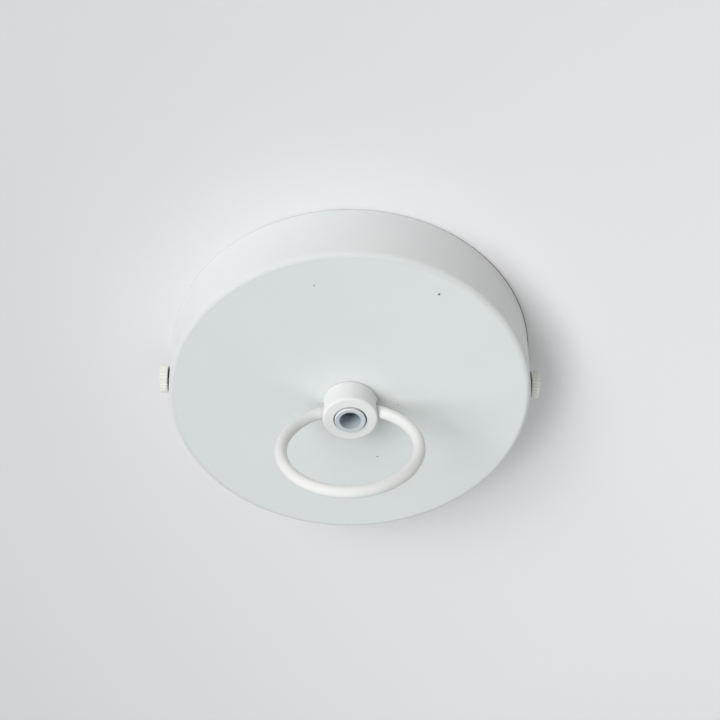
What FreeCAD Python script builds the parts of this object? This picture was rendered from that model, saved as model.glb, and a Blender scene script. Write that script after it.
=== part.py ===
import FreeCAD, Part
import math
import os

os.makedirs("parts", exist_ok=True)

# Electrical ceiling rose, in millimetres. +Z is up, the origin is the centre of the ceiling
# plane, and the rose hangs below it. +X runs along the two side screws.

# Canopy, a drawn steel cup
rim_diameter = 120.0
face_diameter = 118.0
canopy_height = 22.3
sheet = 1.2
edge_radius = 1.8

# Threaded tube and the nut that holds it in the canopy
tube_diameter = 10.0
tube_bore = 8.0
tube_grip = 4.6
nut_across_flats = 14.0
nut_height = 3.0
washer_diameter = 17.0
washer_thickness = 0.8
washer_teeth = 16
thread_clearance = 0.05
hole_clearance = 0.3

# Boss under the canopy and the ring that hangs in it
boss_diameter = 17.9
boss_height = 8.8
boss_rounding = 0.8
boss_base_chamfer = 0.6
boss_turn_deg = -2.8
mouth_depth = 1.0
ring_mean_diameter = 43.3
ring_wire = 3.9
ring_tilt_deg = -6.4
ring_drop = 4.5
ring_play = 0.27
ring_end_rounding = 0.4

# Bush in the mouth of the boss
bush_flange_diameter = 10.0
bush_bore = 7.0
bush_stand_out = 0.7
bush_stem = 5.0
bush_funnel_diameter = 9.0
bush_funnel_depth = 0.2
bush_lip_radius = 0.25
bush_mouth_gap = 0.4

# Side screws, in line with each other
screw_drop = 12.2
screw_diameter = 4.0
screw_head_diameter = 9.4
screw_head_thickness = 2.6
screw_head_gap = 0.5
screw_head_chamfer = 0.3
screw_tip_beyond_ear = 4.5
screw_tip_chamfer = 0.6
knurl_ridges = 28
knurl_depth = 0.3
canopy_hole_clearance = 0.35

# Strap bracket on the ceiling
strap_width = 18.0
strap_thickness = 1.5
strap_bend_radius = 1.5
ear_below_screw = 6.0
ear_corner_radius = 4.0
ear_clearance = 0.6
ear_collar_diameter = 6.6
ear_collar_length = 1.6
supply_hole_diameter = 10.0
slot_spacing = 50.8
slot_length = 14.0
slot_width = 4.6

# Cord grip on the inner end of the tube
grip_diameter = 14.0
grip_height = 11.0
grip_bore = 7.4
grip_flat_across = 12.6
grip_flat_height = 4.0
grip_neck_diameter = 12.0
grip_boss_diameter = 7.2
grip_boss_reach = 9.6
grip_screw_diameter = 5.0
grip_screw_stand_out = 1.4
grip_screw_drop = 3.6
grip_chamfer = 0.6

# Three-way terminal block on the strap
block_from_ear = 15.4
block_length = 14.0
pole_pitch = 9.0
pole_count = 3
pole_width = 6.8
pole_height = 7.0
pole_rounding = 2.2
base_height = 2.0
chimney_diameter = 5.4
chimney_height = 10.6
chimney_spacing = 7.2
sleeve_diameter = 4.6
sleeve_bore = 3.0
sleeve_setback = 0.8
sleeve_height = 3.9
wire_screw_diameter = 2.4
wire_screw_head_diameter = 3.6
wire_screw_head = 1.5
wire_screw_recess = 1.0
block_screw_diameter = 3.0
block_screw_head_diameter = 5.4
block_screw_head = 2.0
block_boss_diameter = 6.2
block_boss_height = 6.6
moulding_clearance = 0.1

# Earth terminal on the strap
earth_from_ear = 14.4
earth_screw_diameter = 4.0
earth_head_diameter = 7.6
earth_head = 2.4
cup_diameter = 9.2
cup_thickness = 1.0
cup_rim_width = 0.7
cup_rim_height = 0.4
earth_tooth_diameter = 7.2
earth_tooth_thickness = 0.6
earth_teeth = 12

# Shapes shared by the screws and washers
driver_slot_width = 0.8
driver_slot_depth = 0.9
tooth_depth = 0.9
pan_rounding = 0.7

# How far a cut runs past the piece that it cuts
spare = 1.0

# Places that follow from the sizes above
rim_radius = rim_diameter / 2
face_radius = face_diameter / 2
widest_radius = max(rim_radius, face_radius)
face_z = -canopy_height
floor_z = sheet - canopy_height
boss_end_z = face_z - boss_height
tube_low_z = boss_end_z + mouth_depth
washer_top_z = floor_z + washer_thickness
nut_top_z = washer_top_z + nut_height
tube_top_z = nut_top_z + tube_grip
hinge_z = face_z - ring_drop
ring_radius = ring_mean_diameter / 2
tube_thread_radius = tube_diameter / 2 + thread_clearance
strap_under_z = -strap_thickness

ORIGIN = FreeCAD.Vector(0, 0, 0)
X = FreeCAD.Vector(1, 0, 0)
Y = FreeCAD.Vector(0, 1, 0)
Z = FreeCAD.Vector(0, 0, 1)


def at(x, y, z):
    return FreeCAD.Vector(x, y, z)


def revolved(outline):
    """Turn an outline of (radius, z) points about the Z axis."""
    corners = [at(radius, 0, z) for radius, z in outline]
    return Part.Face(Part.makePolygon(corners + corners[:1])).revolve(ORIGIN, Z, 360)


def prism(corners, z, height):
    """Extrude a closed outline of (x, y) points upwards from z."""
    points = [at(x, y, z) for x, y in corners]
    return Part.Face(Part.makePolygon(points + points[:1])).extrude(Z * height)


def star(outer, inner, count):
    """Outline with pointed teeth between two radii."""
    step = math.pi / count
    radii = [outer if i % 2 == 0 else inner for i in range(2 * count)]
    return [(r * math.cos(i * step), r * math.sin(i * step)) for i, r in enumerate(radii)]


def hexagon(across_flats):
    radius = across_flats / 2 / math.cos(math.pi / 6)
    turns = [math.radians(60 * i) for i in range(6)]
    return [(radius * math.cos(t), radius * math.sin(t)) for t in turns]


def chamfered_disc(radius, low, high, chamfer):
    """Round blank with both rims chamfered, used to trim prisms."""
    return revolved([(0, low), (radius - chamfer, low), (radius, low + chamfer),
                     (radius, high - chamfer), (radius - chamfer, high), (0, high)])


def edges_at(shape, test):
    """Edges whose every end satisfies the test."""
    return [e for e in shape.Edges if all(test(v.Point) for v in e.Vertexes)]


def near(a, b):
    return abs(a - b) < 1e-4


def slot_hole(x, length, width, z, height):
    """Round-ended slot along X."""
    run = (length - width) / 2
    ends = [Part.makeCylinder(width / 2, height, at(x + s * run, 0, z)) for s in (-1, 1)]
    return Part.makeBox(2 * run, width, height, at(x - run, -width / 2, z)).fuse(ends)


def wall_radius(z):
    """Outer radius of the canopy's drafted wall at a height."""
    return rim_radius + (rim_radius - face_radius) * z / canopy_height


def placed(shape, x, y, z):
    shape.translate(at(x, y, z))
    return shape


def canopy():
    cup = revolved([(0, 0), (rim_radius, 0), (face_radius, face_z), (0, face_z)])
    face_edge = edges_at(cup, lambda p: near(p.z, face_z) and near(p.x, face_radius))
    cup = cup.makeFillet(edge_radius, face_edge)
    hollow = revolved([(0, spare), (rim_radius - sheet, spare), (rim_radius - sheet, 0),
                       (face_radius - sheet, floor_z), (0, floor_z)])
    inner_edge = edges_at(hollow, lambda p: near(p.z, floor_z) and near(p.x, face_radius - sheet))
    hollow = hollow.makeFillet(edge_radius - sheet, inner_edge)
    tube_hole_radius = tube_diameter / 2 + hole_clearance
    tube_hole = Part.makeCylinder(tube_hole_radius, sheet + 2 * spare, at(0, 0, face_z - spare))
    hole_radius = screw_diameter / 2 + canopy_hole_clearance
    side_holes = Part.makeCylinder(hole_radius, 2 * (widest_radius + spare),
                                   at(-widest_radius - spare, 0, -screw_drop), X)
    return cup.cut([hollow, tube_hole, side_holes])


def ear_face():
    """Outer face of the bracket's ears, clear of the drafted wall from top to bottom."""
    depth = screw_drop + ear_below_screw
    room = min(wall_radius(0), wall_radius(-depth)) - sheet - ear_clearance
    return math.sqrt(room ** 2 - (strap_width / 2) ** 2)


def block_x():
    return ear_face() - block_from_ear


def earth_x():
    return earth_from_ear - ear_face()


def ceiling_bracket():
    depth = screw_drop + ear_below_screw
    reach = ear_face()
    inside = reach - strap_thickness
    outer = Part.makeBox(2 * reach, strap_width, depth, at(-reach, -strap_width / 2, -depth))
    bends = edges_at(outer, lambda p: near(abs(p.x), reach) and near(p.z, 0))
    bends = [e for e in bends if near(e.Vertexes[0].X, e.Vertexes[1].X)]
    outer = outer.makeFillet(strap_bend_radius + strap_thickness, bends)
    inner = Part.makeBox(2 * inside, strap_width + 2 * spare, depth,
                         at(-inside, -strap_width / 2 - spare, -depth - strap_thickness))
    tops = edges_at(inner, lambda p: near(abs(p.x), inside) and near(p.z, strap_under_z))
    tops = [e for e in tops if near(e.Vertexes[0].X, e.Vertexes[1].X)]
    inner = inner.makeFillet(strap_bend_radius, tops)
    strap = outer.cut(inner)
    corners = edges_at(strap, lambda p: near(p.z, -depth) and near(abs(p.y), strap_width / 2))
    corners = [e for e in corners if near(e.Vertexes[0].Y, e.Vertexes[1].Y)]
    strap = strap.makeFillet(ear_corner_radius, corners)
    collars = []
    for side in (-1, 1):
        start = at(side * (inside - ear_collar_length), 0, -screw_drop)
        collars.append(Part.makeCylinder(ear_collar_diameter / 2, ear_collar_length, start, X * side))
    strap = strap.fuse(collars).removeSplitter()
    low = strap_under_z - spare
    through = strap_thickness + 2 * spare
    screw_line = Part.makeCylinder(screw_diameter / 2 + thread_clearance, 2 * reach + 2 * spare,
                                   at(-reach - spare, 0, -screw_drop), X)
    earth_hole = earth_screw_diameter / 2 + thread_clearance
    block_hole = block_screw_diameter / 2 + thread_clearance
    cuts = [screw_line, Part.makeCylinder(supply_hole_diameter / 2, through, at(0, 0, low)),
            Part.makeCylinder(earth_hole, through, at(earth_x(), 0, low)),
            Part.makeCylinder(block_hole, through, at(block_x(), pole_pitch / 2, low))]
    cuts += [slot_hole(s * slot_spacing / 2, slot_length, slot_width, low, through) for s in (-1, 1)]
    return strap.cut(cuts)


def thumb_screw(side):
    """Knurled screw modelled along +X, then turned about Z to its own side."""
    seat = wall_radius(-screw_drop) + screw_head_gap
    tip = ear_face() - strap_thickness - screw_tip_beyond_ear
    ridge = screw_head_diameter / 2
    head = prism(star(ridge, ridge - knurl_depth, knurl_ridges), 0, screw_head_thickness)
    head = head.common(chamfered_disc(ridge, 0, screw_head_thickness, screw_head_chamfer))
    radius = screw_diameter / 2
    shank = revolved([(0, tip - seat), (radius - screw_tip_chamfer, tip - seat),
                      (radius, tip - seat + screw_tip_chamfer), (radius, spare), (0, spare)])
    screw = head.fuse(shank).removeSplitter()
    screw.rotate(ORIGIN, Y, 90)
    screw.translate(at(seat, 0, -screw_drop))
    if side < 0:
        screw.rotate(ORIGIN, Z, 180)
    return screw


def ring_centre_drop():
    """From the hinge line down to the ring's centre; the wire crosses that line mid-wall in the boss."""
    crossing = (boss_diameter / 2 + ring_end()) / 2
    return math.sqrt(ring_radius ** 2 - crossing ** 2)


def ring_end():
    """Distance from the tube's axis to the middle of each end of the ring."""
    return tube_thread_radius + ring_play + ring_wire / 4


def ring_hole_radius():
    """Cross-hole that lets the curved end of the wire turn, with play all round."""
    centre = ring_centre_drop()
    inner_edge = ring_radius - ring_wire / 2
    outer_edge = ring_radius + ring_wire / 2
    at_wall = centre - math.sqrt(inner_edge ** 2 - (boss_diameter / 2) ** 2)
    at_end = math.sqrt(outer_edge ** 2 - (ring_end() - ring_wire / 4) ** 2) - centre
    return max(at_wall, at_end) + ring_play


def ring_boss():
    radius = boss_diameter / 2
    blank = revolved([(0, boss_end_z), (radius, boss_end_z), (radius, face_z - boss_base_chamfer),
                      (radius - boss_base_chamfer, face_z), (0, face_z)])
    end_edge = edges_at(blank, lambda p: near(p.z, boss_end_z) and near(p.x, radius))
    blank = blank.makeFillet(boss_rounding, end_edge)
    bore = Part.makeCylinder(tube_thread_radius, boss_height + 2 * spare, at(0, 0, boss_end_z - spare))
    mouth_radius = bush_flange_diameter / 2 + bush_mouth_gap
    mouth = Part.makeCylinder(mouth_radius, mouth_depth + spare, at(0, 0, boss_end_z - spare))
    cross = Part.makeCylinder(ring_hole_radius(), boss_diameter + 2 * spare,
                              at(-radius - spare, 0, hinge_z), X)
    boss = blank.cut([bore, mouth, cross])
    boss.rotate(ORIGIN, Z, boss_turn_deg)
    return boss


def hanging_ring():
    centre = at(0, 0, hinge_z - ring_centre_drop())
    gap = math.degrees(math.asin(ring_end() / ring_radius))
    section = Part.Face(Part.Wire(Part.makeCircle(ring_wire / 2, centre + Z * ring_radius, X)))
    section.rotate(centre, Y, gap)
    ring = section.revolve(centre, Y, 360 - 2 * gap)
    ends = [e for e in ring.Edges if near(e.Length, math.pi * ring_wire)]
    ring = ring.makeFillet(ring_end_rounding, ends)
    ring.rotate(at(0, 0, hinge_z), X, ring_tilt_deg)
    ring.rotate(ORIGIN, Z, boss_turn_deg)
    return ring


def threaded_tube():
    length = tube_top_z - tube_low_z
    tube = Part.makeCylinder(tube_diameter / 2, length, at(0, 0, tube_low_z))
    return tube.cut(Part.makeCylinder(tube_bore / 2, length, at(0, 0, tube_low_z)))


def cable_bush():
    """Flanged bush whose mouth opens in a shallow funnel."""
    low = boss_end_z - bush_stand_out
    stem_radius = tube_bore / 2 - thread_clearance
    flange_radius = bush_flange_diameter / 2
    bush = revolved([(bush_bore / 2, low + bush_funnel_depth), (bush_funnel_diameter / 2, low),
                     (flange_radius, low), (flange_radius, tube_low_z),
                     (stem_radius, tube_low_z), (stem_radius, tube_low_z + bush_stem),
                     (bush_bore / 2, tube_low_z + bush_stem)])
    rim = edges_at(bush, lambda p: near(p.z, low) and near(p.x, flange_radius))
    return bush.makeFillet(bush_lip_radius, rim)


def toothed_washer():
    hole = tube_diameter / 2 + hole_clearance
    return tooth_ring(washer_diameter, hole, washer_thickness, washer_teeth, floor_z)


def tooth_ring(diameter, hole_radius, thickness, teeth, z):
    """Flat lock washer with outside teeth."""
    ring = prism(star(diameter / 2, diameter / 2 - tooth_depth, teeth), z, thickness)
    return ring.cut(Part.makeCylinder(hole_radius, thickness, at(0, 0, z)))


def lock_nut():
    corner = nut_across_flats / 2 / math.cos(math.pi / 6)
    chamfer = corner - nut_across_flats / 2
    nut = prism(hexagon(nut_across_flats), washer_top_z, nut_height)
    nut = nut.common(chamfered_disc(corner, washer_top_z, nut_top_z, chamfer / 2))
    return nut.cut(Part.makeCylinder(tube_thread_radius, nut_height, at(0, 0, washer_top_z)))


def grip_screw_z():
    return nut_top_z + grip_height - grip_screw_drop


def cord_grip():
    """Nylon grip: hexagon foot, round neck and a side boss for the clamp screw."""
    foot = prism(hexagon(grip_flat_across), nut_top_z, grip_flat_height)
    top = nut_top_z + grip_height
    neck_radius = grip_neck_diameter / 2
    neck = revolved([(0, nut_top_z), (neck_radius, nut_top_z), (neck_radius, top - grip_chamfer),
                     (neck_radius - grip_chamfer, top), (0, top)])
    corner = grip_diameter / 2
    foot = foot.common(chamfered_disc(corner, nut_top_z, nut_top_z + grip_flat_height, grip_chamfer))
    boss = Part.makeCylinder(grip_boss_diameter / 2, grip_boss_reach, at(0, 0, grip_screw_z()), Y)
    body = foot.fuse([neck, boss]).removeSplitter()
    socket = Part.makeCylinder(tube_thread_radius, tube_grip + thread_clearance, at(0, 0, nut_top_z))
    bore = Part.makeCylinder(grip_bore / 2, grip_height, at(0, 0, nut_top_z))
    thread = Part.makeCylinder(grip_screw_diameter / 2 + thread_clearance, grip_boss_reach,
                               at(0, 0, grip_screw_z()), Y)
    return body.cut([socket, bore, thread])


def cord_grip_screw():
    """Slotted nylon clamp screw, backed off to the wall of the cable bore."""
    start = grip_bore / 2
    length = grip_boss_reach + grip_screw_stand_out - start
    radius = grip_screw_diameter / 2
    screw = chamfered_disc(radius, 0, length, grip_chamfer)
    slot = Part.makeBox(grip_screw_diameter, driver_slot_width, driver_slot_depth,
                        at(-radius, -driver_slot_width / 2, length - driver_slot_depth))
    screw = screw.cut(slot)
    screw.rotate(ORIGIN, X, -90)
    return placed(screw, 0, start, grip_screw_z())


def pole_places():
    middle = (pole_count - 1) / 2
    return [(i - middle) * pole_pitch for i in range(pole_count)]


def chimney_places():
    return [(s * chimney_spacing / 2, y) for y in pole_places() for s in (-1, 1)]


def terminal_block():
    """Moulded body built base down at the origin, then hung upside down under the strap."""
    width = (pole_count - 1) * pole_pitch + pole_width
    body = Part.makeBox(block_length, width, base_height, at(-block_length / 2, -width / 2, 0))
    for y in pole_places():
        corner = at(-block_length / 2, y - pole_width / 2, 0)
        pole = Part.makeBox(block_length, pole_width, pole_height, corner)
        shoulders = edges_at(pole, lambda p: near(p.z, pole_height))
        shoulders = [e for e in shoulders if near(e.Vertexes[0].Y, e.Vertexes[1].Y)]
        body = body.fuse(pole.makeFillet(pole_rounding, shoulders))
    chimneys = [Part.makeCylinder(chimney_diameter / 2, chimney_height, at(x, y, 0))
                for x, y in chimney_places()]
    boss = Part.makeCylinder(block_boss_diameter / 2, block_boss_height, at(0, pole_pitch / 2, 0))
    body = body.fuse(chimneys + [boss]).removeSplitter()
    sleeve_radius = sleeve_diameter / 2 + moulding_clearance
    cuts = [Part.makeCylinder(sleeve_radius, block_length, at(-block_length / 2, y, sleeve_height), X)
            for y in pole_places()]
    head_radius = wire_screw_head_diameter / 2 + moulding_clearance
    cuts += [Part.makeCylinder(head_radius, chimney_height, at(x, y, sleeve_height))
             for x, y in chimney_places()]
    cuts.append(Part.makeCylinder(block_screw_diameter / 2 + moulding_clearance, chimney_height,
                                  at(0, pole_pitch / 2, 0)))
    cuts.append(Part.makeCylinder(block_screw_head_diameter / 2 + moulding_clearance, chimney_height,
                                  at(0, pole_pitch / 2, block_boss_height)))
    return under_strap(body.cut(cuts))


def under_strap(shape):
    """Turn a piece of the block over and hang it under the strap, keeping each pole's side."""
    shape.rotate(ORIGIN, Y, 180)
    return placed(shape, block_x(), 0, strap_under_z)


def terminal(index):
    """Brass sleeve of one pole, with its two tapped holes."""
    y = pole_places()[index]
    length = block_length - 2 * sleeve_setback
    sleeve = Part.makeCylinder(sleeve_diameter / 2, length, at(-length / 2, y, sleeve_height), X)
    cuts = [Part.makeCylinder(sleeve_bore / 2, length, at(-length / 2, y, sleeve_height), X)]
    tapped = wire_screw_diameter / 2 + thread_clearance
    cuts += [Part.makeCylinder(tapped, chimney_height, at(s * chimney_spacing / 2, y, sleeve_height))
             for s in (-1, 1)]
    return under_strap(sleeve.cut(cuts))


def slotted_screw(radius, head_radius, low, shoulder, top):
    """Cheese-headed screw standing up Z, with a driver slot."""
    screw = revolved([(0, low), (radius, low), (radius, shoulder), (head_radius, shoulder),
                      (head_radius, top), (0, top)])
    slot = Part.makeBox(2 * head_radius, driver_slot_width, driver_slot_depth,
                        at(-head_radius, -driver_slot_width / 2, top - driver_slot_depth))
    return screw.cut(slot)


def terminal_screws():
    top = chimney_height - wire_screw_recess
    screws = []
    for x, y in chimney_places():
        screw = slotted_screw(wire_screw_diameter / 2, wire_screw_head_diameter / 2,
                              sleeve_height, top - wire_screw_head, top)
        screws.append(placed(screw, x, y, 0))
    return under_strap(Part.makeCompound(screws))


def terminal_block_screw():
    top = block_boss_height + block_screw_head
    screw = slotted_screw(block_screw_diameter / 2, block_screw_head_diameter / 2,
                          -strap_thickness, block_boss_height, top)
    return under_strap(placed(screw, 0, pole_pitch / 2, 0))


def earth_cup_washer():
    """Cup whose rim keeps the wire under the screw."""
    top = strap_under_z - earth_tooth_thickness
    hole = earth_screw_diameter / 2 + hole_clearance
    radius = cup_diameter / 2
    low = top - cup_thickness
    rim_top = top + cup_rim_height
    inside = radius - cup_rim_width
    cup = revolved([(hole, low), (radius, low), (radius, rim_top),
                    (inside, rim_top), (inside, top), (hole, top)])
    return placed(cup, earth_x(), 0, 0)


def earth_toothed_washer():
    hole = earth_screw_diameter / 2 + hole_clearance
    low = strap_under_z - earth_tooth_thickness
    washer = tooth_ring(earth_tooth_diameter, hole, earth_tooth_thickness, earth_teeth, low)
    return placed(washer, earth_x(), 0, 0)


def earth_screw():
    """Pan-headed screw up through the cup and the strap."""
    shoulder = strap_thickness + earth_tooth_thickness + cup_thickness
    top = shoulder + earth_head
    screw = slotted_screw(earth_screw_diameter / 2, earth_head_diameter / 2, 0, shoulder, top)
    rim = [e for e in edges_at(screw, lambda p: near(p.z, top)) if e.Curve.TypeId.endswith("Circle")]
    screw = screw.makeFillet(pan_rounding, rim)
    screw.rotate(ORIGIN, X, 180)
    return placed(screw, earth_x(), 0, 0)


NODES = {
    "canopy": canopy(),
    "ceiling_bracket": ceiling_bracket(),
    "left_thumb_screw": thumb_screw(-1),
    "right_thumb_screw": thumb_screw(1),
    "ring_boss": ring_boss(),
    "hanging_ring": hanging_ring(),
    "threaded_tube": threaded_tube(),
    "cable_bush": cable_bush(),
    "toothed_washer": toothed_washer(),
    "lock_nut": lock_nut(),
    "cord_grip": cord_grip(),
    "cord_grip_screw": cord_grip_screw(),
    "terminal_block": terminal_block(),
    "live_terminal": terminal(0),
    "earth_terminal": terminal(1),
    "neutral_terminal": terminal(2),
    "terminal_screws": terminal_screws(),
    "terminal_block_screw": terminal_block_screw(),
    "earth_screw": earth_screw(),
    "earth_cup_washer": earth_cup_washer(),
    "earth_toothed_washer": earth_toothed_washer(),
}

for name, shape in NODES.items():
    shape.exportStep("parts/" + name + ".step")
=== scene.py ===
import math

import bmesh
import bpy
from mathutils import Matrix, Vector

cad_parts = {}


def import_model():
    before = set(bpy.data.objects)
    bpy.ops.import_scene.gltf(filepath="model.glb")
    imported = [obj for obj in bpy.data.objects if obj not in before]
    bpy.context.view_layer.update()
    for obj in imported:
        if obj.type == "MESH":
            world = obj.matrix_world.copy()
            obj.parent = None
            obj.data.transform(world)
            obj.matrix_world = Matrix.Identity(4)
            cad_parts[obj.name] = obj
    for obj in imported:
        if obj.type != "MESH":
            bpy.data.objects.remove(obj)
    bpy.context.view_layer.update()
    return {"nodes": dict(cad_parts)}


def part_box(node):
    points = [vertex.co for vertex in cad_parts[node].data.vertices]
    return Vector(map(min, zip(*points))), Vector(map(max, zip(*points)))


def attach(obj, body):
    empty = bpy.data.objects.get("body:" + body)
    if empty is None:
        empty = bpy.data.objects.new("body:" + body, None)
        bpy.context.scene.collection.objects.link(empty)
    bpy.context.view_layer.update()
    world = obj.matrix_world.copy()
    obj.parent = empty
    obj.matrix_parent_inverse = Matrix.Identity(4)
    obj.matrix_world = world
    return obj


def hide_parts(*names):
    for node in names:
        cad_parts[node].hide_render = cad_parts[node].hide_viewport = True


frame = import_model()
NODES = frame["nodes"]
MM = 0.001

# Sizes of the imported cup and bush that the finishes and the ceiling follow
CUP_LOW, CUP_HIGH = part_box("canopy")
BUSH_LOW, BUSH_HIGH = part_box("cable_bush")
RIM_RADIUS = CUP_HIGH.x
FACE_Z = CUP_LOW.z
BUSH_RADIUS = BUSH_HIGH.x

# Camera: what it looks at and from where, in degrees and metres, and its lens and sensor in mm
CAMERA_LENS = 70.62
CAMERA_SENSOR = 36.0
CAMERA_YAW = 2.07
CAMERA_RISE = 50.38
CAMERA_ROLL = -0.67
CAMERA_AIM = Vector((3.42, 0.70, 0.0)) * MM
CAMERA_DISTANCE = 478.6 * MM

# Ceiling over the rose: its gap to the rim widens towards +X
CEILING_HALF_WIDTH = 1.6
CEILING_GAP = 0.35 * MM
CEILING_SLOPE = 0.005
CEILING_HOLE_RADIUS = RIM_RADIUS - 1.4 * MM
CEILING_HOLE_STEPS = 128

# Painted light: the ceiling's paint grows lighter along an axis, between two distances from the origin
CEILING_LIGHT_AXIS = (0.7, 0.7, 0.0)
CEILING_LIGHT_RANGE = (-0.12, 0.18)

# Distances from the axis, in metres, between which the ceiling fades into the background
CEILING_FADE = (0.31, 0.58)

# Thin line of painted shade on the ceiling, a circle off centre that shows along the right of the rim
RIM_SHADE_CENTRE = Vector((0.42, 0.36, 0.0)) * MM
RIM_SHADE_INNER_RADIUS = RIM_RADIUS - 0.40 * MM
RIM_SHADE_OUTER_RADIUS = RIM_RADIUS - 0.15 * MM

# Threads: each turn's points as shares of the pitch, at the root (0) or at the crest (1)
THREAD_TURN = ((0.0, 0), (0.18, 0), (0.5, 1), (0.68, 1))

# Side screws
KNURL_RIDGES = 28
KNURL_DEPTH = 0.3 * MM
KNURL_SHARPNESS = 1.5
SCREW_STEPS = KNURL_RIDGES * 10
SCREW_HEAD = 2.6 * MM
SCREW_NECK = 1.0 * MM
SCREW_PITCH = 0.7 * MM
SCREW_THREAD_DEPTH = 0.38 * MM
SCREW_RADIUS = 2.0 * MM
SCREW_TIP_CHAMFER = 0.6 * MM
SCREW_EDGE = 0.3 * MM

# Dish in the screw's head: its depth, and its edge and floor as shares of the head's radius
DISH_DEPTH = 0.12 * MM
DISH_EDGE = 0.72
DISH_FLOOR = 0.66

# Hollow tube
TUBE_STEPS = SCREW_STEPS // 2
TUBE_PITCH = 1.0 * MM
TUBE_THREAD_DEPTH = 0.5 * MM
TUBE_WALL = 1.0 * MM
TUBE_CHAMFER = 0.5 * MM

# Points closer than this are one, and edges bent by more than this angle stay sharp
WELD = 0.002 * MM
SHARP_ANGLE = math.radians(28)

# Inside this radius the boss's colour turns dark: painted shade in its mouth
MOUTH_RADIUS = BUSH_RADIUS + 0.4 * MM

# Width over which a coat or a line of painted shade ends
SOFT_EDGE = 0.06 * MM

# Painted shade along the edge of the face, darker there to damp its highlight: where it darkens, from the
# axis and in height
EDGE_SHADE_RADIUS = (RIM_RADIUS - 3.2 * MM, RIM_RADIUS - 2.4 * MM)
EDGE_SHADE_HEIGHT = (FACE_Z + 0.7 * MM, FACE_Z + 1.7 * MM)

# Painted highlight: where the bush turns whiter towards its lip, from its axis
BUSH_LIP_HIGHLIGHT = (BUSH_RADIUS - 0.28 * MM, BUSH_RADIUS - 0.04 * MM)

# Painted shade: heights over which the bush darkens, from its mouth to its inner end
BUSH_BORE_SHADE = (BUSH_LOW.z + 0.4 * MM, BUSH_HIGH.z - 0.1 * MM)

# Dust specks on the face of the cup: x, y and radius in mm, and strength
SPECKS = (
    (-12.0, -46.9, 0.40, 0.5),
    (26.3, -44.4, 0.52, 0.95),
    (9.8, 24.4, 0.38, 0.7),
    (15.7, 1.0, 0.34, 0.4),
)

# Share of a speck's radius that is dark throughout
SPECK_CORE = 0.45

# Noise that is the same size along every axis
EVEN = (1.0, 1.0, 1.0)

# Light of the room, and the background that the camera, metal and glossy surfaces see
ROOM_COLOR = (1.0, 0.96, 0.865)
ROOM_STRENGTH = 0.265
BACKGROUND_COLOR = (0.80, 0.805, 0.815)
BACKGROUND_STRENGTH = 0.95


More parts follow.
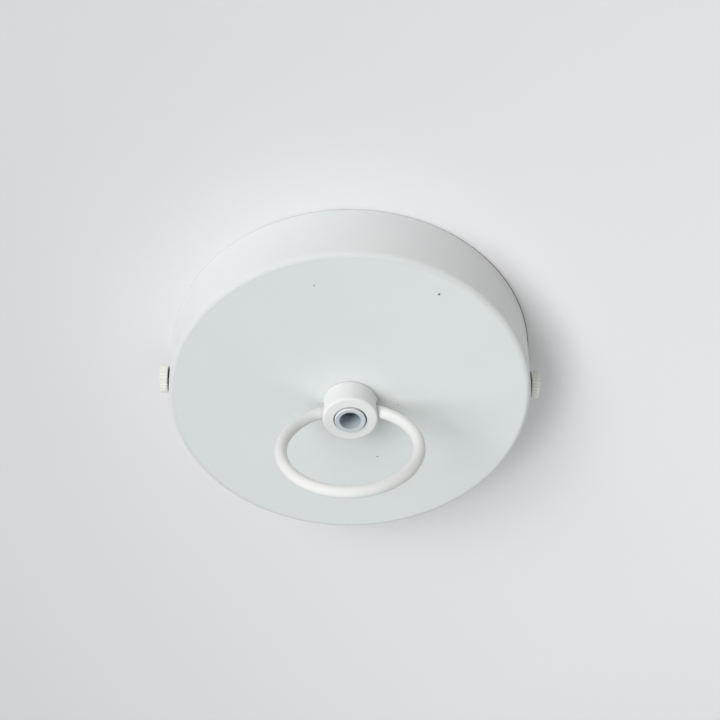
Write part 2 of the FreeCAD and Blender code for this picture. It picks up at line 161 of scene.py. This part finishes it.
class Finish:
    """A node material with its Principled shader and object coordinates at hand."""

    def __init__(self, name, color, roughness, metallic=0.0):
        self.material = bpy.data.materials.new(name)
        self.material.use_nodes = True
        self.nodes = self.material.node_tree.nodes
        self.shader = self.nodes["Principled BSDF"]
        self.place = self.nodes.new("ShaderNodeTexCoord").outputs["Object"]
        self.painted = color
        self.set("Base Color", (*color, 1.0))
        self.set("Roughness", roughness)
        self.set("Metallic", metallic)

    def set(self, socket, value):
        self.shader.inputs[socket].default_value = value

    def link(self, output, node, socket):
        self.material.node_tree.links.new(output, node.inputs[socket])

    def combine(self, operation, first, second):
        """A Math node's result from two values."""
        node = self.nodes.new("ShaderNodeMath")
        node.operation = operation
        self.link(first, node, 0)
        self.link(second, node, 1)
        return node.outputs["Value"]

    def measure(self, operation, place, fixed):
        """A Vector Math node's value from a place and a fixed vector."""
        node = self.nodes.new("ShaderNodeVectorMath")
        node.operation = operation
        self.link(place, node, 0)
        node.inputs[1].default_value = fixed
        return node.outputs["Value"]

    def spread(self, value, low, high, start=0.3, end=0.7, curve="LINEAR"):
        """Maps a value from start..end to low..high."""
        node = self.nodes.new("ShaderNodeMapRange")
        node.interpolation_type = curve
        self.link(value, node, "Value")
        node.inputs["From Min"].default_value = start
        node.inputs["From Max"].default_value = end
        node.inputs["To Min"].default_value = low
        node.inputs["To Max"].default_value = high
        return node.outputs["Result"]

    def noise(self, size, detail=2.0, stretch=EVEN):
        """Noise whose grain is about the given size in metres."""
        mapping = self.nodes.new("ShaderNodeMapping")
        mapping.inputs["Scale"].default_value = stretch
        self.link(self.place, mapping, "Vector")
        noise = self.nodes.new("ShaderNodeTexNoise")
        noise.inputs["Scale"].default_value = 1.0 / size
        noise.inputs["Detail"].default_value = detail
        self.link(mapping.outputs["Vector"], noise, "Vector")
        return noise.outputs["Fac"]

    def near(self, point, radius):
        """1 at a point of the object, 0 beyond the radius, in metres."""
        distance = self.measure("DISTANCE", self.place, point)
        return self.spread(distance, 1.0, 0.0, radius * SPECK_CORE, radius)

    def axis_distance(self, centre=Vector()):
        """Distance from a line along Z through the centre, in metres."""
        flat = self.nodes.new("ShaderNodeMapping")
        flat.inputs["Scale"].default_value = (1.0, 1.0, 0.0)
        self.link(self.place, flat, "Vector")
        return self.measure("DISTANCE", flat.outputs["Vector"], centre)

    def height(self):
        """Height along the object's Z axis, in metres."""
        node = self.nodes.new("ShaderNodeSeparateXYZ")
        self.link(self.place, node, "Vector")
        return node.outputs["Z"]

    def paint(self, share, color):
        """Blends a colour over the paint so far, by a share from 0 to 1."""
        node = self.nodes.new("ShaderNodeMix")
        node.data_type = "RGBA"
        self.link(share, node, 0)
        if isinstance(self.painted, bpy.types.NodeSocket):
            self.link(self.painted, node, 6)
        else:
            node.inputs[6].default_value = (*self.painted, 1.0)
        node.inputs[7].default_value = (*color, 1.0)
        self.painted = node.outputs[2]
        self.link(self.painted, self.shader, "Base Color")

    def mottle(self, size, tint, detail=2.0):
        """Slow drift of the colour towards a tint."""
        self.paint(self.spread(self.noise(size, detail), 0.0, 1.0), tint)

    def grain(self, size, low, high, stretch=EVEN):
        """Roughness that varies between two values."""
        self.link(self.spread(self.noise(size, 3.0, stretch), low, high), self.shader, "Roughness")

    def relief(self, *layers):
        """Bump from noise layers of (size, depth, stretch), in metres."""
        normal = None
        for size, depth, stretch in layers:
            bump = self.nodes.new("ShaderNodeBump")
            bump.inputs["Strength"].default_value = 1.0
            bump.inputs["Distance"].default_value = depth
            self.link(self.noise(size, 2.0, stretch), bump, "Height")
            if normal:
                self.link(normal, bump, "Normal")
            normal = bump.outputs["Normal"]
        self.link(normal, self.shader, "Normal")

    def glow_through(self, weight, scale, radius):
        """Light that enters the surface and comes out nearby, as in pale plastic."""
        self.set("Subsurface Weight", weight)
        self.set("Subsurface Scale", scale)
        self.set("Subsurface Radius", radius)


def cup_paint():
    """Satin powder coat with faint orange peel, painted shade along the edge of the face and the dust
    specks of the face.
    """
    finish = Finish("white_powder_coat", (0.786, 0.81, 0.81), 0.58)
    finish.mottle(14 * MM, (0.766, 0.796, 0.798))
    # Painted shade: a darker band along the edge of the face damps its highlight
    outward = finish.spread(finish.axis_distance(), 0.0, 1.0, *EDGE_SHADE_RADIUS)
    downward = finish.spread(finish.height(), 1.0, 0.0, *EDGE_SHADE_HEIGHT)
    finish.paint(finish.combine("MULTIPLY", outward, downward), (0.735, 0.757, 0.757))
    for x, y, radius, strength in SPECKS:
        speck = finish.near(Vector((x * MM, y * MM, FACE_Z)), radius * MM)
        finish.paint(finish.spread(speck, 0.0, strength, 0.0, 1.0), (0.10, 0.088, 0.07))
    finish.grain(3 * MM, 0.50, 0.62)
    finish.set("Specular IOR Level", 0.12)
    finish.relief((1.1 * MM, 0.012 * MM, EVEN), (0.28 * MM, 0.006 * MM, EVEN))
    return finish.material


def fitting_paint(name, color, tint, shaded_mouth):
    """The thicker coat on the boss and ring; it can take painted shade inside the boss's mouth."""
    finish = Finish(name, color, 0.58)
    finish.mottle(5 * MM, tint)
    if shaded_mouth:
        # Painted shade: dark colour inside the boss's mouth
        darkened = finish.spread(finish.axis_distance(), 1.0, 0.0, MOUTH_RADIUS, MOUTH_RADIUS + SOFT_EDGE)
        finish.paint(darkened, (0.16, 0.16, 0.165))
    finish.grain(1.5 * MM, 0.52, 0.66)
    finish.set("Specular IOR Level", 0.15)
    finish.relief((0.8 * MM, 0.020 * MM, EVEN), (0.24 * MM, 0.010 * MM, EVEN))
    return finish.material


def ivory_paint():
    finish = Finish("ivory_paint", (0.81, 0.81, 0.77), 0.48)
    finish.mottle(1.6 * MM, (0.775, 0.77, 0.72))
    finish.grain(0.8 * MM, 0.42, 0.56)
    finish.relief((0.25 * MM, 0.010 * MM, EVEN))
    return finish.material


def bush_plastic():
    """Milky blue-white plastic, with a painted highlight at its thin lip and painted shade deep in its
    bore.
    """
    finish = Finish("bush_plastic", (0.60, 0.655, 0.69), 0.44)
    finish.mottle(2.5 * MM, (0.56, 0.62, 0.66))
    # Painted shade: the bush darkens deep in its bore
    finish.paint(finish.spread(finish.height(), 0.0, 1.0, *BUSH_BORE_SHADE), (0.36, 0.44, 0.485))
    # Painted highlight: the lip is whiter
    finish.paint(finish.spread(finish.axis_distance(), 0.0, 1.0, *BUSH_LIP_HIGHLIGHT), (0.86, 0.875, 0.88))
    finish.glow_through(0.12, 0.5 * MM, (1.0, 1.0, 1.0))
    finish.set("Specular IOR Level", 0.18)
    finish.grain(0.9 * MM, 0.38, 0.5)
    finish.relief((0.5 * MM, 0.004 * MM, EVEN))
    return finish.material


def nylon(name, color, tint):
    finish = Finish(name, color, 0.42)
    finish.mottle(4 * MM, tint)
    finish.glow_through(0.25, 1.2 * MM, (1.0, 0.95, 0.8))
    finish.grain(1.2 * MM, 0.36, 0.5)
    finish.relief((0.4 * MM, 0.006 * MM, EVEN))
    return finish.material


def zinc_plate():
    """Bright zinc on rolled strip: fine lines along X and a faint blue cast."""
    along = (0.06, 1.0, 1.0)
    finish = Finish("zinc_plate", (0.70, 0.71, 0.735), 0.32, metallic=1.0)
    finish.mottle(9 * MM, (0.61, 0.635, 0.68), 3.0)
    finish.grain(0.5 * MM, 0.24, 0.42, along)
    finish.relief((0.25 * MM, 0.006 * MM, along), (2.5 * MM, 0.010 * MM, EVEN))
    return finish.material


def turned_metal(name, color, tint, size):
    finish = Finish(name, color, 0.3, metallic=1.0)
    finish.mottle(size, tint, 3.0)
    finish.grain(0.35 * MM, 0.22, 0.42)
    finish.relief((0.2 * MM, 0.005 * MM, EVEN))
    return finish.material


def ceiling_paint():
    """Flat white emulsion, seen only from the room side and near the rose, with painted light growing
    along an axis and a painted line of shade under the rim.
    """
    finish = Finish("ceiling_paint", (0.824, 0.814, 0.834), 0.85)
    # Painted light: the ceiling grows lighter along an axis
    along = finish.measure("DOT_PRODUCT", finish.place, CEILING_LIGHT_AXIS)
    finish.paint(finish.spread(along, 0.0, 1.0, *CEILING_LIGHT_RANGE), (0.917, 0.902, 0.924))
    # Painted shade: a thin dark line on the ceiling along the right of the rim
    from_centre = finish.axis_distance(RIM_SHADE_CENTRE)
    outside = finish.spread(from_centre, 0.0, 1.0, RIM_SHADE_INNER_RADIUS - SOFT_EDGE, RIM_SHADE_INNER_RADIUS)
    inside = finish.spread(from_centre, 1.0, 0.0, RIM_SHADE_OUTER_RADIUS, RIM_SHADE_OUTER_RADIUS + SOFT_EDGE)
    finish.paint(finish.combine("MULTIPLY", outside, inside), (0.16, 0.155, 0.15))
    finish.relief((1.4 * MM, 0.02 * MM, EVEN))
    finish.set("Specular IOR Level", 0.2)
    open_to_camera(finish)
    return finish.material


def open_to_camera(finish):
    """Lets camera rays through the ceiling from above and far from the rose; light stays out."""
    above = finish.nodes.new("ShaderNodeNewGeometry").outputs["Backfacing"]
    far = finish.spread(finish.axis_distance(), 0.0, 1.0, *CEILING_FADE, "SMOOTHERSTEP")
    seen = finish.nodes.new("ShaderNodeLightPath").outputs["Is Camera Ray"]
    clear = finish.nodes.new("ShaderNodeBsdfTransparent")
    mix = finish.nodes.new("ShaderNodeMixShader")
    finish.link(finish.combine("MULTIPLY", seen, finish.combine("MAXIMUM", above, far)), mix, "Fac")
    finish.link(finish.shader.outputs["BSDF"], mix, 1)
    finish.link(clear.outputs["BSDF"], mix, 2)
    finish.link(mix.outputs["Shader"], finish.nodes["Material Output"], "Surface")


def add(name, data):
    """Puts an object with this data into the scene."""
    thing = bpy.data.objects.new(name, data)
    bpy.context.scene.collection.objects.link(thing)
    return thing


def add_mesh(name, bm, *materials):
    mesh = bpy.data.meshes.new(name)
    bm.to_mesh(mesh)
    bm.free()
    for material in materials:
        mesh.materials.append(material)
    return add(name, mesh)


def mesh_piece(name, bm, *materials):
    """Turns a closed bmesh into an object with smooth faces and sharp edges kept."""
    bmesh.ops.remove_doubles(bm, verts=bm.verts, dist=WELD)
    bmesh.ops.dissolve_degenerate(bm, edges=bm.edges, dist=WELD)
    bmesh.ops.recalc_face_normals(bm, faces=bm.faces)
    for face in bm.faces:
        face.smooth = True
    for edge in bm.edges:
        if len(edge.link_faces) == 2 and edge.calc_face_angle(0.0) > SHARP_ANGLE:
            edge.smooth = False
    return add_mesh(name, bm, *materials)


def polar(radius, turn, z):
    """A point at a turn from 0 to 1 about Z."""
    angle = 2 * math.pi * turn
    return Vector((radius * math.cos(angle), radius * math.sin(angle), z))


def loop_points(radius_at, z, columns):
    """One ring of points about Z; radius_at gives the radius at each turn from 0 to 1."""
    turns = [i / columns for i in range(columns + 1)]
    return [polar(radius_at(t), t, z) for t in turns]


def circle(radius, z, columns):
    return loop_points(lambda turn: radius, z, columns)


def skin(bm, rings, material=0):
    """Faces between successive rings of points, each ring closed by its last point."""
    rows = [[bm.verts.new(p) for p in ring] for ring in rings]
    for low, high in zip(rows, rows[1:]):
        for i in range(len(low) - 1):
            face = bm.faces.new((low[i], low[i + 1], high[i + 1], high[i]))
            face.material_index = material


def thread_rings(start, end, pitch, crest, depth, chamfer, columns):
    """Helical rings from start up to end; both ends run out onto flat circles."""
    root = crest - depth
    tip = crest - chamfer
    rings = [circle(tip, start, columns)]
    for turn in range(-1, math.ceil((end - start) / pitch) + 1):
        for phase, high in THREAD_TURN:
            ring = []
            for i in range(columns + 1):
                share = i / columns
                z = start + pitch * (turn + phase + share)
                radius = min(crest if high else root, tip + max(z - start, 0.0))
                if z <= start:
                    radius = tip
                if z >= end:
                    radius = root
                ring.append(polar(radius, share, min(max(z, start), end)))
            rings.append(ring)
    rings.append(circle(root, end, columns))
    return rings


def knurl(radius):
    """Radius round the knurled head: rounded ridges with flat-bottomed grooves."""
    def at(turn):
        wave = 0.5 + 0.5 * math.cos(2 * math.pi * KNURL_RIDGES * turn)
        return radius - KNURL_DEPTH * (1 - wave) ** KNURL_SHARPNESS
    return at


def thumb_screw(node, body, side, head_paint, dark_steel):
    """Knurled screw with its thread, made along Z and turned onto the side screws' line."""
    low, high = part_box(node)
    outer = high.x if side > 0 else -low.x
    tip = low.x if side > 0 else -high.x
    radius = (high.z - low.z) / 2
    drop = (high.z + low.z) / 2
    seat = outer - SCREW_HEAD
    neck = seat - SCREW_NECK
    floor = outer - DISH_DEPTH
    under_head = circle(radius - KNURL_DEPTH - SCREW_EDGE, seat, SCREW_STEPS)
    thread = thread_rings(tip, neck, SCREW_PITCH, SCREW_RADIUS, SCREW_THREAD_DEPTH,
                          SCREW_TIP_CHAMFER, SCREW_STEPS)
    shank = [circle(0.0, tip, SCREW_STEPS),
             *thread,
             circle(SCREW_RADIUS - SCREW_THREAD_DEPTH, seat, SCREW_STEPS),
             under_head]
    ridge = knurl(radius)
    inset = knurl(radius - SCREW_EDGE)
    crown = [under_head,
             loop_points(inset, seat, SCREW_STEPS),
             loop_points(ridge, seat + SCREW_EDGE, SCREW_STEPS),
             loop_points(ridge, outer - SCREW_EDGE, SCREW_STEPS),
             loop_points(inset, outer, SCREW_STEPS),
             circle(radius * DISH_EDGE, outer, SCREW_STEPS),
             circle(radius * DISH_FLOOR, floor, SCREW_STEPS),
             circle(0.0, floor, SCREW_STEPS)]
    bm = bmesh.new()
    # The shank and the head's underside take the dark steel: unpainted steel, made dark as painted shade
    # in the gap under the head
    skin(bm, shank, 1)
    skin(bm, crown, 0)
    turn = Matrix.Rotation(math.radians(90), 4, "Y")
    if side < 0:
        turn = Matrix.Rotation(math.radians(180), 4, "Z") @ turn
    bmesh.ops.transform(bm, matrix=Matrix.Translation((0, 0, drop)) @ turn, verts=bm.verts)
    piece = mesh_piece(node + "_threaded", bm, head_paint, dark_steel)
    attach(piece, body)
    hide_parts(node)


def threaded_tube(steel, bore_shade):
    """Plated tube with its thread; its bore is a darker steel, as painted shade inside it."""
    low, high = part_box("threaded_tube")
    crest = high.x
    rings = thread_rings(low.z, high.z, TUBE_PITCH, crest, TUBE_THREAD_DEPTH, TUBE_CHAMFER, TUBE_STEPS)
    bore_top = circle(crest - TUBE_WALL, high.z, TUBE_STEPS)
    bore_end = circle(crest - TUBE_WALL, low.z, TUBE_STEPS)
    bm = bmesh.new()
    skin(bm, [*rings, bore_top])
    # Painted shade: the bore gets the darker steel
    skin(bm, [bore_top, bore_end], 1)
    skin(bm, [bore_end, rings[0]])
    piece = mesh_piece("threaded_tube_cut", bm, steel, bore_shade)
    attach(piece, "root")
    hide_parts("threaded_tube")


def square_radius(turn):
    """Distance from the middle of a square to its edge, at a turn from 0 to 1."""
    angle = 2 * math.pi * turn
    return CEILING_HALF_WIDTH / max(abs(math.cos(angle)), abs(math.sin(angle)))


def ceiling(material):
    """Square ceiling, a little tilted, with a round hole behind the cup."""
    inner = circle(CEILING_HOLE_RADIUS, CEILING_GAP, CEILING_HOLE_STEPS)
    outer = loop_points(square_radius, CEILING_GAP, CEILING_HOLE_STEPS)
    for point in inner + outer:
        point.z += CEILING_SLOPE * point.x
    bm = bmesh.new()
    skin(bm, [outer, inner])
    bmesh.ops.remove_doubles(bm, verts=bm.verts, dist=WELD)
    bm.normal_update()
    for face in bm.faces:
        if face.normal.z > 0:
            face.normal_flip()
    plane = add_mesh("ceiling", bm, material)


def soft_lamp(name, place, target, width, power, color=(1.0, 1.0, 1.0), spread=180.0):
    """Disk lamp that faces a target; a spread under 180 degrees narrows its beam."""
    light = bpy.data.lights.new(name, "AREA")
    light.shape = "DISK"
    light.size = width
    light.spread = math.radians(spread)
    light.energy = power
    light.color = color
    lamp = add(name, light)
    lamp.location = place
    lamp.rotation_mode = "QUATERNION"
    lamp.rotation_quaternion = (Vector(target) - Vector(place)).to_track_quat("-Z", "Y")
    lamp.visible_camera = False


def lamp_place(turn, rise, distance):
    """A place under the ceiling: turn from -X towards -Y and rise below the ceiling, in degrees."""
    a, e = math.radians(turn), math.radians(rise)
    return Vector((-math.cos(a) * math.cos(e), -math.sin(a) * math.cos(e), -math.sin(e))) * distance


def lights():
    """Two windows whose beams pass the rose on its right, three faint fills and a lamp above."""
    low_window = lamp_place(turn=54, rise=34, distance=3.0)
    high_window = lamp_place(turn=34, rise=56, distance=3.0)
    back = lamp_place(turn=258, rise=12, distance=2.5)
    past_rose = (0.7, 0.0, 0.0)
    soft_lamp("window_low", low_window, past_rose, width=1.7, power=6.8,
              color=(1.0, 0.958, 0.962), spread=60.0)
    soft_lamp("window_high", high_window, past_rose, width=1.7, power=4.7,
              color=(0.88, 0.965, 1.0), spread=60.0)
    soft_lamp("room_back", back, (0.0, 0.0, 0.0), width=1.0, power=3.0,
              color=(0.78, 0.95, 1.0))
    soft_lamp("room_right", (0.75, 0.10, -0.16), (0.06, 0.0, 0.0), width=0.5, power=0.25,
              color=(1.0, 0.95, 0.87))
    soft_lamp("room_below", (0.10, 0.03, -0.46), (0.05, 0.0, 0.0), width=0.45, power=0.40,
              color=(0.77, 0.925, 1.0))
    soft_lamp("above", (0.05, 0.08, 0.6), (0.0, 0.0, 0.0), width=0.3, power=1.5)


def world():
    """The room's light, with a paler background for camera, glossy and transmission rays."""
    sky = bpy.data.worlds.new("pale_room")
    sky.use_nodes = True
    nodes, links = sky.node_tree.nodes, sky.node_tree.links
    room = nodes["Background"]
    room.inputs["Color"].default_value = (*ROOM_COLOR, 1.0)
    room.inputs["Strength"].default_value = ROOM_STRENGTH
    shown = nodes.new("ShaderNodeBackground")
    shown.inputs["Color"].default_value = (*BACKGROUND_COLOR, 1.0)
    shown.inputs["Strength"].default_value = BACKGROUND_STRENGTH
    path = nodes.new("ShaderNodeLightPath")
    seen = path.outputs["Is Camera Ray"]
    for ray in ("Is Glossy Ray", "Is Transmission Ray"):
        either = nodes.new("ShaderNodeMath")
        either.operation = "MAXIMUM"
        links.new(seen, either.inputs[0])
        links.new(path.outputs[ray], either.inputs[1])
        seen = either.outputs["Value"]
    mix = nodes.new("ShaderNodeMixShader")
    links.new(seen, mix.inputs["Fac"])
    links.new(room.outputs["Background"], mix.inputs[1])
    links.new(shown.outputs["Background"], mix.inputs[2])
    links.new(mix.outputs["Shader"], nodes["World Output"].inputs["Surface"])
    bpy.context.scene.world = sky


def camera():
    """Camera at the photograph's viewing angle."""
    data = bpy.data.cameras.new("photo_view")
    data.sensor_width = CAMERA_SENSOR
    data.lens = CAMERA_LENS
    data.clip_start = 0.01
    data.clip_end = 20.0
    yaw, rise, roll = (math.radians(a) for a in (CAMERA_YAW, CAMERA_RISE, CAMERA_ROLL))
    forward = Vector((math.sin(yaw) * math.cos(rise), math.cos(yaw) * math.cos(rise), math.sin(rise)))
    right = Vector((math.cos(yaw), -math.sin(yaw), 0.0))
    up = right.cross(forward)
    turned_right = math.cos(roll) * right + math.sin(roll) * up
    turned_up = math.cos(roll) * up - math.sin(roll) * right
    view = Matrix((turned_right, turned_up, -forward)).transposed().to_4x4()
    view.translation = CAMERA_AIM - forward * CAMERA_DISTANCE
    eye = add("photo_view", data)
    eye.matrix_world = view
    bpy.context.scene.camera = eye


def dress(material, *names):
    """Gives CAD nodes one material."""
    for name in names:
        mesh = NODES[name].data
        mesh.materials.clear()
        mesh.materials.append(material)


def pieces():
    """Dresses the CAD nodes, and puts threaded screws and a threaded tube in place of the plain ones."""
    boss_coat = fitting_paint("boss_coat", (0.85, 0.856, 0.85), (0.83, 0.84, 0.834), shaded_mouth=True)
    ring_coat = fitting_paint("ring_coat", (0.828, 0.83, 0.818), (0.81, 0.815, 0.80), shaded_mouth=False)
    white_nylon = nylon("white_nylon", (0.80, 0.79, 0.75), (0.76, 0.745, 0.70))
    block_nylon = nylon("block_nylon", (0.78, 0.78, 0.75), (0.73, 0.735, 0.71))
    zinc = zinc_plate()
    brass = turned_metal("turned_brass", (0.80, 0.62, 0.33), (0.72, 0.53, 0.27), 3 * MM)
    steel = turned_metal("plated_screw_steel", (0.64, 0.64, 0.64), (0.60, 0.605, 0.615), 2 * MM)
    # Dark steel for the screws' shanks and head undersides, made dark as painted shade for the gap
    # between head and cup
    darkened = turned_metal("dark_screw_steel", (0.20, 0.20, 0.20), (0.14, 0.14, 0.145), 1 * MM)
    bore_shade_metal = turned_metal("shaded_bore_steel", (0.26, 0.30, 0.325), (0.22, 0.26, 0.285), 2 * MM)
    ivory = ivory_paint()
    dress(cup_paint(), "canopy")
    dress(boss_coat, "ring_boss")
    dress(ring_coat, "hanging_ring")
    dress(bush_plastic(), "cable_bush")
    dress(zinc, "ceiling_bracket", "toothed_washer", "lock_nut")
    dress(white_nylon, "cord_grip", "cord_grip_screw")
    dress(block_nylon, "terminal_block")
    dress(brass, "live_terminal", "earth_terminal", "neutral_terminal", "earth_screw", "earth_cup_washer")
    dress(steel, "terminal_screws", "terminal_block_screw", "earth_toothed_washer")
    thumb_screw("left_thumb_screw", "left_screw", -1, ivory, darkened)
    thumb_screw("right_thumb_screw", "right_screw", 1, ivory, darkened)
    threaded_tube(zinc, bore_shade_metal)


pieces()
ceiling(ceiling_paint())
lights()
world()
camera()
bpy.context.scene.view_settings.view_transform = "Standard"
